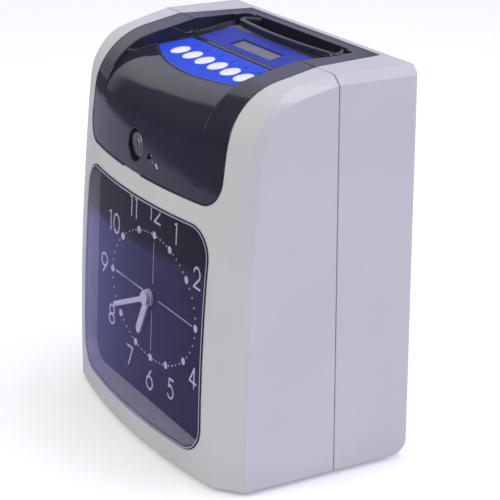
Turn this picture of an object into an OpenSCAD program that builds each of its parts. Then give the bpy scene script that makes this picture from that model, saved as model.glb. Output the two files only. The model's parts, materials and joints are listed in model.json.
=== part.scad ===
// Time clock for punching cards: a case in two shells, with an analogue clock in the front cover,
// a card mouth, keys and a display on top, and a card printer inside.
// X is the width, -Y is the front, +Z is up, and the origin is under the middle of the feet.
// All sizes are in millimetres.

/* [Case] */
// Width across the side faces
body_w = 200; // [190:1:212]
// Depth from the foremost point of the front to the rear face
body_d = 122; // [118:1:128]
// Height of the case at the kink of its top, without the feet
body_h = 217; // [214:1:222]
// Wall thickness of the two shells
wall = 2.5; // [2:0.1:3]
// Depth of the rear shell, from the seam to the rear face
rear_d = 46.8; // [45.5:0.1:48]
// Gap that shows at the seam between the shells
seam_gap = 0.5; // [0.3:0.1:0.8]
// Height of the rubber feet
foot_h = 2.5; // [2:0.5:4]
// Radius of a rubber foot
foot_r = 7; // [5:0.5:9]

/* [Front shape] */
// Radius of the front's crown, seen from above
crown_r = 387; // [360:1:430]
// Radius of the front's lean, seen from the side
lean_r = 1270; // [1100:10:1600]
// Radius of the arch between the front and the top
arch_r = 38; // [33:1:42]
// Fall of the top towards the front, in degrees
top_fall = 11.5; // [9.5:0.5:13.5]
// Radius of the arch of the sunken middle
deck_arch_r = 30; // [26:1:33]
// Fall of the sunken deck towards the front, in degrees
deck_fall = 9; // [7.5:0.5:10]
// Depth of the sunken deck under the kink
deck_drop = 8.4; // [7.6:0.1:9.2]
// Half of the sunken deck's width
deck_hw = 60; // [59:0.1:61]
// Half of the dark panel's width on the front, in a case 200 wide
panel_hw = 80.5; // [78.5:0.5:82.5]
// Half of the dark panel's width at the kink, in a case 200 wide
panel_kink_hw = 77; // [75:0.5:79]
// Half of the dark frame's width at the rear, in a case 200 wide
panel_rear_hw = 70; // [68.5:0.5:72]
// Height of the dark panel's lower edge, in a case 217 high
panel_z = 150; // [147:0.5:152]
// Corner radius of the dark panel
panel_r = 15; // [10:1:18]
// Gap around the dark panel and the lens
trim_gap = 0.4; // [0.3:0.1:0.6]

/* [Clock] */
// Half of the lens's width, in a case 200 wide
lens_hw = 75; // [72:0.5:77]
// Height of the lens's lower edge
lens_z0 = 13.5; // [12:0.5:16]
// Height of the lens's upper edge, in a case 217 high
lens_z1 = 138; // [134:0.5:140]
// Corner radius of the lens
lens_r = 16; // [12:1:20]
// How far the lens stands out of the case
lens_proud = 0.5; // [0.3:0.1:0.8]
// Thickness of the lens
lens_t = 1.7; // [1.2:0.1:2.2]
// Lean of the dial, in degrees
dial_tilt = 3.35; // [2:0.05:4]
// Height of the hands' axis, in a case 217 high
dial_z = 77; // [74:0.5:80]
// Depth of the dial's face behind the foremost point of the front
dial_back = 17.2; // [16.5:0.1:19]
// Thickness of the dial
dial_t = 1.5; // [1:0.1:2]
// Width of the clock movement
move_w = 56; // [50:1:60]
// Thickness of the clock movement
move_t = 16; // [14:0.5:18]
// Radius of the hands' arbor
arbor_r = 1.8; // [1.5:0.1:2]
// Length of the minute hand
minute_l = 43.5; // [40:0.5:48]
// Length of the hour hand
hour_l = 27; // [22:0.5:32]
// Width of the hour hand
hand_w = 5.2; // [4:0.2:7]
// Width of the minute hand
minute_w = 3; // [2.4:0.2:4.4]

/* [Lock] */
// Distance of the lock's axis from the middle of the panel
lock_x = -5; // [-8:0.5:8]
// Radius of the dish that the lock stands in
dish_r = 9; // [8.6:0.1:10.5]
// Radius of the lock's barrel
lock_r = 5.4; // [5:0.1:6]
// Radius of the lock's plug
plug_r = 3.9; // [3.7:0.1:4.4]

/* [Keys and display] */
// Radius of a key
key_r = 5.8; // [5.5:0.1:6.3]
// Spacing of the keys
key_pitch = 14.8; // [14.7:0.05:15.4]
// Travel of a key
key_travel = 1; // [0.8:0.1:1]
// Clearance around a key
key_gap = 0.3; // [0.2:0.05:0.35]
// Thickness of the blue overlays
overlay_t = 0.8; // [0.6:0.1:1]
// Width of the display's window
lcd_w = 46; // [40:1:52]
// Length of the display's window
lcd_l = 9.4; // [8:0.2:11]

/* [Card printer] */
// Half of the card mouth's width
mouth_hw = 51; // [49:0.5:52]
// Gap between the card guides
card_gap = 6; // [5.4:0.1:6.2]
// Half of the width that the card slides in
card_hw = 44; // [43:0.5:45]
// Thickness of the chassis's sheet steel
sheet = 1.5; // [1.2:0.1:1.6]
// Distance from the middle to the inside of a chassis cheek
cheek_x = 60; // [59.5:0.1:60.5]
// Radius of the feed roller
feed_r = 7; // [6.5:0.1:7.5]
// Radius of the pinch rollers
pinch_r = 5.5; // [5.3:0.1:5.6]
// Radius of the carriage's rods
rod_r = 3; // [2.5:0.1:3.4]
// Height of the carriage's rods, in a case 217 high
rod_z = 143; // [141:0.5:144]
// Radius of the belt's pulleys
pulley_r = 6; // [5.5:0.1:6.4]
// Running clearance on radii
run = 0.05; // [0.03:0.01:0.08]

/* [Hidden] */
$fn = 64;
hw = body_w / 2;
yf = -body_d / 2 + lens_proud - 0.11;
yr = body_d / 2;
seam = yr - rear_d;
kz = body_h / 217;
kd = body_d / 122;
wider = hw - 100;
taller = body_h - 217;
kink_u = seam - yf;
deck_z = body_h - deck_drop;
front_hw = panel_hw + wider;
kink_hw = panel_kink_hw + wider;
rear_hw = panel_rear_hw + wider;
lens_x = lens_hw + wider;
lens_top = lens_z1 + taller;
axis_z = dial_z + taller / 2;
panel_low = panel_z + taller;
tray_y = seam - 4.7;
slot_y = yr - 14.5;
guide_f = slot_y - card_gap / 2;
guide_r = slot_y + card_gap / 2;
nip = slot_y - 0.1;
guide_t = 1.5;
cheek_top = deck_z - 13;
guide_top = deck_z - 11;
funnel_z = deck_z - 9;
ledge_z = deck_z - 4;
hollow_z = deck_z - 2.6;
tube_r = arbor_r + 0.6;
barrel_r = tube_r + 0.7;
rods = rod_z + taller;
print_z = rods + 18;
feed_z = rods - 25;
cassette_z = rods + 32;
feed_y = nip - 0.1 - feed_r;
pinch_y = nip + 0.1 + pinch_r;
rod_y1 = 28;
rod_y2 = 16;
pulley_x = 50;
lock_z = panel_low + 14.5;
lock_face = yf + lock_z * lock_z / (2 * lean_r);
lock_floor = lock_face + 4.4;
key_y = -20.4;
led_y = -10.6;
tray_r = 139;
tray_apex = seam + (key_y - 17.4) * cos(deck_fall);
lcd_y = 3.2;
lip_y = yr - 26;
lip_r = 374.6;
lip_w = 3.4;
lip_z = body_h - 2.5;
case_col = [0.78, 0.78, 0.82];
dark_col = [0.2, 0.2, 0.25];
blue_col = [0.25, 0.35, 0.85];
steel_col = [0.7, 0.71, 0.72];

// The chamfer's outer edge on the side face: height, and distance behind the foremost point
CHAMFER_A = [[0, 20.6], [25, 20.8], [50, 21.3], [75, 22.2], [100, 23.6], [120, 24.9], [140, 26], [160, 26.9],
    [175, 27.8], [187, 29.2], [196, 31.8], [203, 36], [208, 42.5], [212, 52], [215, 66], [218, 90], [224, 120]];
CHAMFER_B = [[0, 19.9], [122, 25.3], [145, 27.5], [165, 29.5], [185, 32.4], [191, 34.5], [195, 36.7],
    [200, 40.1], [204, 44.6], [206.8, 50.2], [208.3, 55.8], [209.7, 62.7], [211.1, 68.4], [212.5, 75.3],
    [216.8, 89], [224, 112]];

// Curved shapes of the front

// The arch's centre, in distance behind the foremost point and height
function arch_c(r, fall, z) =
    let (n = [-sin(fall), cos(fall)], d = [cos(fall), sin(fall)], c = [lean_r, 0])
    let (p = [kink_u, z] - r * n, w = p - c, b = w * d, q = w * w - (lean_r - r) * (lean_r - r))
    p + (-b - sqrt(b * b - q)) * d;

// Outline of the front, arch and top, in distance behind the foremost point and height, set in by a skin
function drum_side(r, fall, z, skin) =
    let (c = arch_c(r, fall, z), a0 = 180 - atan2(c[1], lean_r - c[0]), a1 = 90 + fall)
    let (far = c + (r - skin) * [cos(a1), sin(a1)] + 80 * [cos(fall), sin(fall)])
    concat(
        [[150, -20], [skin, -20]],
        [for (i = [0:8]) let (a = 180 - i * (180 - a0) / 8)
            [lean_r + (lean_r - skin) * cos(a), (lean_r - skin) * sin(a)]],
        [for (i = [1:12]) let (a = a0 + i * (a1 - a0) / 12)
            [c[0] + (r - skin) * cos(a), c[1] + (r - skin) * sin(a)]],
        [far]);

// The same outline turned level with the top, as distances behind the kink and over it
function drum_pts(r, fall, z, skin) =
    [for (p = drum_side(r, fall, z, skin)) let (u = p[0] - kink_u, w = p[1] - z)
        [u * cos(fall) + w * sin(fall), w * cos(fall) - u * sin(fall)]];

// The crown turns about an axis that stands square to the top, so that the top comes out flat
module drum(r, fall, z, skin) {
    axis = crown_r + (4 - kink_u) * cos(fall) + (110 - z) * sin(fall);
    translate([0, seam, z])
        rotate([fall, 0, 0])
            translate([0, axis, 0])
                rotate([0, 0, -112])
                    rotate_extrude(angle = 44, $fn = 256)
                        polygon([for (p = drum_pts(r, fall, z, skin)) [axis - p[0], p[1]]]);
}

module rim_drum(skin) {
    drum(arch_r, top_fall, body_h, skin);
}

module deck_drum(skin) {
    drum(deck_arch_r, deck_fall, deck_z, skin - 0.05);
}

// A vertical-profile limit that a chamfer puts on one side of the case, turned by its angle
module limiter_side(table, angle, skin, side) {
    mirror([side, 0, 0])
        rotate([90, 0, -angle])
            linear_extrude(height = 500, center = true)
                polygon(concat(
                    [[-300, -30]],
                    [[hw * cos(angle) - (yf + table[0][1] * kd) * sin(angle) - skin, -30]],
                    [for (p = table)
                        [hw * cos(angle) - (yf + p[1] * kd) * sin(angle) - skin, p[0] * kz - skin * 0.9]],
                    [[-300, table[len(table) - 1][0] * kz - skin * 0.9]]));
}

// The front shell's solid shape, set in by a skin
module front_solid(skin) {
    intersection() {
        translate([-hw + skin, yf - 20, 0])
            cube([2 * (hw - skin), 20 + kink_u - seam_gap / 2, 240]);
        rim_drum(skin);
        limiter_side(CHAMFER_A, 50, skin, 0);
        limiter_side(CHAMFER_A, 50, skin, 1);
        limiter_side(CHAMFER_B, 20, skin, 0);
        limiter_side(CHAMFER_B, 20, skin, 1);
    }
}

// A plate outline with round corners, centred in X and standing on y = 0
module round_rect(w, h, r) {
    translate([-w / 2, r])
        square([w, h - 2 * r]);
    translate([-w / 2 + r, 0])
        square([w - 2 * r, h]);
    for (x = [-w / 2 + r, w / 2 - r], y = [r, h - r])
        translate([x, y])
            circle(r);
}

// A shape drawn in the front view, standing through a span of depth
module front_prism(y0, y1) {
    translate([0, y1, 0])
        rotate([90, 0, 0])
            linear_extrude(height = y1 - y0)
                children();
}

// Front view of the dark panel, set in by a gap
module panel_outline(gap) {
    translate([0, panel_low + gap])
        round_rect(2 * (front_hw - gap), 42, panel_r);
    polygon([[-front_hw + gap, panel_low + 22], [front_hw - gap, panel_low + 22],
        [front_hw - gap, panel_low + 36], [kink_hw - gap, body_h], [kink_hw - gap, body_h + 20],
        [-kink_hw + gap, body_h + 20], [-kink_hw + gap, body_h], [-front_hw + gap, panel_low + 36]]);
}

// Front view of the lens, set in by a gap
module lens_outline(gap) {
    translate([0, lens_z0 + gap])
        round_rect(2 * (lens_x - gap), lens_top - lens_z0 - 2 * gap, lens_r - gap);
}

// The dial's own place: the hands' axis, leaning back
module at_dial() {
    translate([0, yf + dial_back, axis_z])
        rotate([-dial_tilt, 0, 0])
            children();
}

// The sunken deck's own place: Y runs up the slope and Z stands off it
module at_deck() {
    translate([0, seam, deck_z])
        rotate([deck_fall, 0, 0])
            children();
}

// A cylinder along Y
module cyl_y(r, y0, y1) {
    translate([0, y0, 0])
        rotate([-90, 0, 0])
            cylinder(r = r, h = y1 - y0);
}

// A cylinder along X
module cyl_x(r, x0, x1) {
    translate([x0, 0, 0])
        rotate([0, 90, 0])
            cylinder(r = r, h = x1 - x0);
}

// A box between two corners
module span(a, b) {
    translate(a)
        cube(b - a);
}

// Front cover

module dial_spots() {
    for (x = [-lens_x - 5.5, lens_x + 5.5], z = [lens_z0 + 6.5, lens_top - 5])
        translate([x, 0, z - axis_z])
            children();
}

module front_case() {
    color(case_col)
        difference() {
            union() {
                difference() {
                    front_solid(0);
                    front_solid_cavity();
                    front_prism(yf - 20, seam + 5)
                        panel_outline(0);
                    front_prism(yf - 20, yf + 40)
                        lens_outline(-trim_gap);
                }
                intersection() {
                    front_solid(1);
                    union() {
                        at_dial()
                            dial_spots()
                                cyl_y(3.6, -14, 0);
                        span([-22, yf, panel_low - 9], [22, yf + 14.5, panel_low - 1.5]);
                    }
                }
            }
            at_dial()
                dial_spots()
                    cyl_y(1.5, -4, 1);
        }
}

module front_solid_cavity() {
    intersection() {
        translate([-hw + wall, yf - 20, -1])
            cube([2 * (hw - wall), 40 + kink_u, 240]);
        rim_drum(wall);
        limiter_side(CHAMFER_A, 50, wall, 0);
        limiter_side(CHAMFER_A, 50, wall, 1);
        limiter_side(CHAMFER_B, 20, wall, 0);
        limiter_side(CHAMFER_B, 20, wall, 1);
    }
}

// The notch that the key tray stands in, seen from above
module tray_outline(gap) {
    intersection() {
        translate([0, tray_apex + tray_r])
            circle(tray_r - gap, $fn = 256);
        translate([-deck_hw + gap, tray_apex])
            square([2 * (deck_hw - gap), 90]);
    }
}

module front_panel() {
    color(dark_col)
        difference() {
            union() {
                difference() {
                    intersection() {
                        front_prism(yf - 10, seam - seam_gap / 2)
                            panel_outline(trim_gap);
                        rim_drum(0);
                    }
                    difference() {
                        span([-deck_hw, yf - 10, panel_low - 10], [deck_hw, seam + 5, body_h + 23]);
                        deck_drum(0);
                    }
                    difference() {
                        intersection() {
                            front_prism(yf - 10, seam + 5)
                                panel_inner();
                            rim_drum(wall);
                        }
                        difference() {
                            span([-deck_hw - wall, yf - 11, panel_low - 11],
                                [deck_hw + wall, seam + 6, body_h + 24]);
                            deck_drum(wall);
                        }
                    }
                }
                intersection() {
                    deck_drum(1);
                    translate([lock_x, 0, lock_z])
                        cyl_y(dish_r + 3, lock_face, lock_floor + 2.8);
                }
                span([-20, yf + 10.5, panel_low + 1.5], [20, yf + 17, panel_low + 6]);
                span([-20, yf + 14.5, panel_low - 9], [20, yf + 17, panel_low + 6]);
            }
            translate([lock_x, 0, lock_z]) {
                cyl_y(dish_r, lock_face - 10, lock_floor);
                cyl_y(lock_r + 0.1, lock_floor - 1, lock_floor + 10);
            }
            linear_extrude(height = 300)
                tray_outline(0);
        }
}

// The hollow behind the dark panel, in front view
module panel_inner() {
    in = wall + trim_gap;
    polygon([[-front_hw + in, panel_low - 30], [front_hw - in, panel_low - 30], [front_hw - in, panel_low + 36],
        [kink_hw - in, body_h], [-kink_hw + in, body_h], [-front_hw + in, panel_low + 36]]);
}

module lens() {
    color([0.8, 0.85, 0.9])
        intersection() {
            difference() {
                union() {
                    intersection() {
                        front_prism(yf - 10, yf + 40)
                            lens_outline(0);
                        rim_drum(-lens_proud);
                    }
                    at_dial()
                        translate([0, 0, (lens_z0 + lens_top) / 2 - axis_z])
                            lens_flange(2.4, -1.6, 5);
                }
                intersection() {
                    front_prism(yf - 11, yf + 41)
                        lens_outline(lens_t);
                    rim_drum(lens_t - lens_proud);
                }
            }
            at_dial()
                span([-hw, -40, -axis_z - 10], [hw, 0, lens_top - axis_z + 20]);
        }
}

module lens_flange(out, y0, y1) {
    front_prism(y0, y1)
        translate([0, -(lens_top - lens_z0) / 2 - out])
            round_rect(2 * (lens_x + out), lens_top - lens_z0 + 2 * out, lens_r + out);
}

module dial() {
    color([0.38, 0.38, 0.5])
        at_dial()
            difference() {
                front_prism(0, dial_t)
                    translate([0, lens_z0 - 2.5 - axis_z])
                        round_rect(2 * (lens_x + 10), lens_top - lens_z0 + 6.5, 8);
                cyl_y(barrel_r + 0.3, -1, dial_t + 1);
                dial_spots()
                    cyl_y(1.6, -1, dial_t + 1);
            }
}

module dial_screws() {
    color(steel_col)
        at_dial()
            dial_spots() {
                cyl_y(1.4, -3, dial_t + 0.5);
                difference() {
                    cyl_y(2.8, dial_t, dial_t + 1.8);
                    span([-0.4, dial_t + 1, -2], [0.4, dial_t + 2, 2]);
                    span([-2, dial_t + 1, -0.4], [2, dial_t + 2, 0.4]);
                }
            }
}

module movement() {
    color([0.12, 0.12, 0.13])
        at_dial()
            difference() {
                union() {
                    front_prism(dial_t, dial_t + move_t)
                        translate([0, -move_w / 2])
                            round_rect(move_w, move_w, 4);
                    cyl_y(barrel_r, -1.5, dial_t + 1);
                }
                cyl_y(tube_r, -4, 5);
                cyl_y(arbor_r + run, 4, 10);
                translate([0, dial_t + move_t, -16])
                    cyl_x(7.5, -26, 26);
            }
}

module movement_cell() {
    color([0.75, 0.6, 0.25])
        at_dial()
            translate([0, dial_t + move_t, -16]) {
                cyl_x(7.2, -25, 25);
                cyl_x(2.6, 24, 26);
            }
}

module movement_nut() {
    color([0.75, 0.62, 0.3])
        at_dial()
            difference() {
                rotate([90, 0, 0])
                    cylinder(r = barrel_r + 1.6, h = 1.4, $fn = 6);
                cyl_y(barrel_r + 0.05, -3, 1);
            }
}

module hand_blade(l, w, hub, y0, y1) {
    front_prism(y0, y1) {
        translate([-w / 2, 0])
            square([w, l - w / 2]);
        translate([0, l - w / 2])
            circle(w / 2);
        circle(hub);
    }
}

module hour_hand() {
    color([0.95, 0.95, 0.95])
        at_dial()
            difference() {
                union() {
                    rotate([0, 206, 0])
                        hand_blade(hour_l, hand_w, 4.9, -3.2, -2.2);
                    cyl_y(4.9, -3.2, -1.75);
                    cyl_y(tube_r - run, -3, 3.8);
                }
                cyl_y(arbor_r + run, -7, 5);
            }
}

module minute_hand() {
    color([0.95, 0.95, 0.95])
        at_dial() {
            rotate([0, 247, 0])
                hand_blade(minute_l, minute_w, 4.1, -5, -3.8);
            cyl_y(arbor_r, -4.8, 9);
        }
}

module hand_cap() {
    color([0.95, 0.95, 0.95])
        at_dial()
            translate([0, -5, 0])
                rotate([90, 0, 0])
                    difference() {
                        union() {
                            cylinder(r = 4.1, h = 0.4);
                            translate([0, 0, 0.4])
                                cylinder(r1 = 4.1, r2 = 3.7, h = 0.4);
                        }
                        translate([0, 0, -1])
                            cylinder(r = 2.2, h = 1.3);
                    }
}

module lock_barrel() {
    color([0.75, 0.76, 0.78])
        translate([lock_x, 0, lock_z])
            difference() {
                union() {
                    cyl_y(lock_r + 1.5, lock_floor - 1.6, lock_floor);
                    cyl_y(lock_r, lock_floor - 1, lock_floor + 18);
                }
                cyl_y(plug_r + run, lock_floor - 5, lock_floor + 20);
            }
}

module lock_plug() {
    color([0.82, 0.82, 0.84])
        translate([lock_x, 0, lock_z])
            difference() {
                union() {
                    cyl_y(plug_r, lock_floor - 2.2, lock_floor + 18.3);
                    span([-2.5, lock_floor + 18, -2.5], [2.5, lock_floor + 21, 2.5]);
                }
                span([-0.5, lock_floor - 4, 1.3 - plug_r], [0.5, lock_floor + 8, plug_r - 1.3]);
            }
}

module lock_cam() {
    color(steel_col)
        translate([lock_x, 0, lock_z])
            difference() {
                front_prism(lock_floor + 18.3, lock_floor + 20) {
                    circle(6.2);
                    translate([-5, 0])
                        square([10, 17]);
                    translate([0, 17])
                        circle(5);
                }
                span([-2.5, lock_floor + 18, -2.5], [2.5, lock_floor + 21, 2.5]);
            }
}

module lock_nut() {
    color([0.75, 0.76, 0.78])
        translate([lock_x, lock_floor + 2.8, lock_z])
            difference() {
                rotate([-90, 0, 0])
                    cylinder(r = lock_r + 3.6, h = 3, $fn = 6);
                cyl_y(lock_r + 0.05, -1, 4);
            }
}

// Rear shell

// The rear shell's cross-section
module rear_section(skin) {
    polygon([[-hw + skin, -1], [hw - skin, -1], [hw - skin, body_h - 4.7 - skin],
        [hw - 5 - skin, body_h - skin], [-hw + 5 + skin, body_h - skin], [-hw + skin, body_h - 4.7 - skin]]);
}

// Side view of the rear shell's foot, which is rounded behind
module rear_side(skin) {
    polygon(concat([[-80, 0], [yr - 10, 0]],
        [for (i = [1:6]) [yr - 10 + (10 - skin) * sin(i * 15), 10 - 10 * cos(i * 15)]],
        [[yr - skin, 250], [-80, 250]]));
}

module rear_solid(skin, y0) {
    intersection() {
        translate([0, yr + 10, 0])
            rotate([90, 0, 0])
                linear_extrude(height = yr + 10 - y0)
                    rear_section(skin);
        rotate([90, 0, 90])
            linear_extrude(height = 300, center = true)
                rear_side(skin);
        translate([0, -80, -5])
            linear_extrude(height = 260)
                round_rect(2 * (hw - skin), 80 + yr - skin, 1.5);
    }
}

// The dark frame on the top, seen from above
module frame_outline(gap) {
    polygon([[-kink_hw + gap, seam - 2], [kink_hw - gap, seam - 2],
        [rear_hw - gap, yr - 3.4 - gap], [-rear_hw + gap, yr - 3.4 - gap]]);
}

module rear_screw_spots() {
    for (x = [-hw + 24, hw - 24], z = [30, 156 + taller])
        translate([x, 0, z])
            children();
}

module rear_case() {
    color(case_col)
        difference() {
            union() {
                difference() {
                    rear_solid(0, seam + seam_gap / 2);
                    rear_solid(wall, seam - 5);
                    translate([0, 0, deck_z - 20])
                        linear_extrude(height = 60)
                            frame_outline(0);
                }
                for (side = [0, 1])
                    mirror([side, 0, 0]) {
                        span([hw - wall - 1.8, seam + 1.5, 8], [hw - wall + 0.5, seam + 8, deck_z - 10]);
                        span([hw - wall - 1.8, seam - 5, 8], [hw - wall - 0.3, seam + 8, deck_z - 10]);
                        for (y = [seam + 7, yr - 12])
                            span([rear_hw - 4, y, ledge_z - 6], [hw - wall + 0.5, y + 5, ledge_z]);
                    }
                rear_screw_spots()
                    cyl_y(4.5, yr - 5, yr - 1);
            }
            rear_screw_spots() {
                cyl_y(1.8, yr - 8, yr + 1);
                cyl_y(3.4, yr - 1.4, yr + 1);
            }
            for (x = [-55, 55])
                translate([x, 0, 178 + taller]) {
                    cyl_y(2.2, yr - 8, yr + 1);
                    translate([0, 0, -9])
                        cyl_y(4.5, yr - 8, yr + 1);
                    span([-2.2, yr - 8, -9], [2.2, yr + 1, 0]);
                }
            translate([hw - 24, 0, 56])
                cyl_y(6, yr - 8, yr + 1);
            translate([hw - 24, 0, 56])
                cyl_y(8.4, yr - 1.2, yr + 1);
            for (i = [0:6])
                span([-56 + i * 7, yr - 8, 24], [-53 + i * 7, yr + 1, 62]);
        }
}

module cord_bush() {
    color([0.1, 0.1, 0.1])
        translate([hw - 24, 0, 56])
            difference() {
                union() {
                    cyl_y(8.2, yr - 1.2, yr);
                    cyl_y(5.9, yr - 7, yr - 1);
                }
                cyl_y(3.5, yr - 8, yr + 1);
            }
}

module case_screws() {
    color(steel_col)
        rear_screw_spots()
            difference() {
                union() {
                    cyl_y(1.7, yr - 7.5, yr - 1);
                    cyl_y(3.1, yr - 1.4, yr - 0.2);
                }
                span([-0.4, yr - 0.8, -2.2], [0.4, yr, 2.2]);
                span([-2.2, yr - 0.8, -0.4], [2.2, yr, 0.4]);
            }
}

// Floor of the case, which the cover slides over
module base_outline() {
    translate([-hw + wall, seam])
        square([2 * (hw - wall), rear_d - 10.4]);
    intersection() {
        translate([0, yf + crown_r])
            circle(crown_r - wall - 0.7, $fn = 256);
        polygon([[-hw + wall + 0.7, seam + 1], [hw - wall - 0.7, seam + 1],
            [hw - wall - 0.7, yf + 21.5 + wall], [hw - 17 - wall, yf + 7], [20, yf], [-20, yf],
            [-hw + 17 + wall, yf + 7], [-hw + wall + 0.7, yf + 21.5 + wall]]);
    }
}

module foot_spots() {
    for (x = [-hw + 22, hw - 22], y = [-34, 36])
        translate([x, y, 0])
            children();
}

module chassis_spots() {
    for (x = [-50, 50], y = [3, 40])
        translate([x, y, 0])
            children();
}

module base_tray() {
    color([0.3, 0.3, 0.33])
        difference() {
            union() {
                translate([0, 0, 0.4])
                    linear_extrude(height = 2.6)
                        base_outline();
                chassis_spots()
                    translate([0, 0, 2])
                        cylinder(r = 4.5, h = 4);
            }
            chassis_spots() {
                cylinder(r = 1.8, h = 10);
                cylinder(r = 3.4, h = 2);
            }
            for (x = [-1, 1], i = [0:5])
                span([x * 40 - 14, -36 + i * 5, -1], [x * 40 + 14, -34 + i * 5, 5]);
        }
}

module base_screws() {
    color(steel_col)
        chassis_spots() {
            translate([0, 0, 1.5])
                cylinder(r = 1.7, h = 4.4 + sheet);
            translate([0, 0, 0.7])
                cylinder(r = 3.1, h = 1.3);
        }
}

module rubber_feet() {
    color([0.1, 0.1, 0.1])
        foot_spots()
            translate([0, 0, -foot_h])
                cylinder(r = foot_r, h = foot_h + 0.4);
}

// Card mouth, seen from above: its lip bows towards the front
module lip_circle(in) {
    translate([0, lip_y + lip_r])
        circle(lip_r - in, $fn = 256);
}

// The lip's bead, which runs between the mouth's ends
module lip_bead() {
    intersection() {
        translate([0, lip_y + lip_r, lip_z])
            rotate([0, 0, -102])
                rotate_extrude(angle = 24, $fn = 256)
                    translate([lip_r - lip_w / 2, 0])
                        circle(lip_w / 2, $fn = 48);
        span([-mouth_hw - 1.5, 0, 0], [mouth_hw + 1.5, yr, 300]);
    }
}

// The top's solid over the ledge, inside the dark frame
module top_block() {
    intersection() {
        translate([0, yr + 10, 0])
            rotate([90, 0, 0])
                linear_extrude(height = body_d)
                    rear_section(0);
        translate([0, 0, ledge_z])
            linear_extrude(height = 60)
                intersection() {
                    frame_outline(trim_gap);
                    translate([-hw, seam + seam_gap / 2])
                        square([2 * hw, rear_d]);
                }
    }
}

module top_deck() {
    color(dark_col) {
        difference() {
            union() {
                difference() {
                    top_block();
                    translate([0, 0, ledge_z - 10])
                        linear_extrude(height = hollow_z - ledge_z + 10)
                            intersection() {
                                frame_outline(trim_gap + wall);
                                translate([-hw, seam + wall])
                                    square([2 * hw, rear_d]);
                            }
                }
                span([-mouth_hw - 2.5, yr - 25, guide_top], [mouth_hw + 2.5, yr - 7.5, deck_z]);
                at_deck()
                    span([-deck_hw + 0.6, -4.2, -2.6], [deck_hw - 0.6, 2, 2]);
            }
            intersection() {
                translate([0, 0, deck_z - 10])
                    linear_extrude(height = 40)
                        difference() {
                            translate([-deck_hw - 0.5, seam - 20])
                                square([2 * deck_hw + 1, 60]);
                            lip_circle(0);
                        }
                at_deck()
                    span([-hw, -40, 0], [hw, 60, 40]);
            }
            intersection() {
                rotate([90, 0, 90])
                    linear_extrude(height = 2 * mouth_hw, center = true)
                        polygon([[guide_f, guide_top - 8], [guide_r, guide_top - 8], [guide_r, funnel_z],
                            [yr - 11, deck_z + 3], [yr - 11, body_h + 30], [yr - 30, body_h + 30],
                            [yr - 30, deck_z + 3.5], [guide_f, funnel_z]]);
                translate([0, 0, guide_top - 18])
                    linear_extrude(height = 80)
                        lip_circle(lip_w);
            }
            translate([0, 0, lip_z])
                linear_extrude(height = 20)
                    difference() {
                        translate([-mouth_hw, seam])
                            square([2 * mouth_hw, 40]);
                        lip_circle(lip_w);
                    }
            at_deck() {
                span([-lcd_w / 2 - 2, lcd_y - 1.5, -20], [lcd_w / 2 + 2, lcd_y + lcd_l + 1.5, 5]);
                span([-50.1, -1.7, -overlay_t], [50.1, 20.1, 5]);
            }
        }
        lip_bead();
    }
}

module lcd_overlay() {
    color(blue_col)
        at_deck()
            difference() {
                span([-50, -1.6, -overlay_t], [50, 20, 0]);
                span([-lcd_w / 2, lcd_y, -2], [lcd_w / 2, lcd_y + lcd_l, 2]);
            }
}

module lcd_glass() {
    color([0.5, 0.5, 0.58])
        intersection() {
            at_deck()
                span([-lcd_w / 2 - 1.6, lcd_y - 1.1, -20], [lcd_w / 2 + 1.6, lcd_y + lcd_l + 1.1, -overlay_t]);
            span([-hw, seam - 10, hollow_z], [hw, yr, body_h]);
        }
}

module lcd_board() {
    color([0.1, 0.35, 0.2])
        span([-42, seam + wall + 0.6, hollow_z - 1.6], [42, yr - 25.6, hollow_z]);
}

// Keys

module key_spots() {
    for (i = [0:5])
        translate([(i - 2.5) * key_pitch, key_y, 0])
            children();
}

module led_spots() {
    for (i = [0:5])
        translate([(i - 2.5) * key_pitch, led_y, 0])
            children();
}

// The blue key overlay, seen from above
module keypad_outline() {
    intersection() {
        translate([0, tray_apex + tray_r])
            circle(tray_r - 1.2, $fn = 256);
        polygon([[-deck_hw + 8.3, tray_y - 0.6], [deck_hw - 8.3, tray_y - 0.6], [deck_hw - 2, seam - 25.3],
            [deck_hw - 2, tray_apex], [-deck_hw + 2, tray_apex], [-deck_hw + 2, seam - 25.3]]);
    }
}

module key_tray() {
    color(dark_col)
        difference() {
            union() {
                intersection() {
                    linear_extrude(height = 300)
                        intersection() {
                            tray_outline(0.5);
                            translate([-hw, tray_apex])
                                square([2 * hw, tray_y - tray_apex]);
                        }
                    at_deck()
                        span([-100, -60, -overlay_t - 2.5], [100, 0, 0]);
                }
                at_deck()
                    for (x = [-50, 50], y = [-25, -10])
                        translate([x, y, -9])
                            cylinder(r = 2.5, h = 7);
                for (side = [0, 1])
                    mirror([side, 0, 0])
                        span([min(cheek_x - 2.5, deck_hw - 4), 3, deck_z - 20], [cheek_x, 9, deck_z - 3.3]);
            }
            intersection() {
                translate([0, 0, deck_z - 60])
                    linear_extrude(height = 100)
                        keypad_outline();
                at_deck()
                    span([-100, -60, -overlay_t], [100, 20, 20]);
            }
            at_deck() {
                key_spots()
                    translate([0, 0, -5])
                        cylinder(r = key_r + key_gap, h = 10);
                led_spots()
                    translate([0, 0, -5])
                        cylinder(r = 1.5, h = 10);
            }
        }
}

module keypad_overlay() {
    color(blue_col)
        difference() {
            intersection() {
                translate([0, 0, deck_z - 60])
                    linear_extrude(height = 100)
                        keypad_outline();
                at_deck()
                    span([-100, -60, -overlay_t], [100, 20, 0]);
            }
            at_deck() {
                key_spots()
                    translate([0, 0, -5])
                        cylinder(r = key_r + key_gap, h = 10);
                led_spots()
                    translate([0, 0, -5])
                        cylinder(r = 1.5, h = 10);
            }
        }
}

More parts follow.
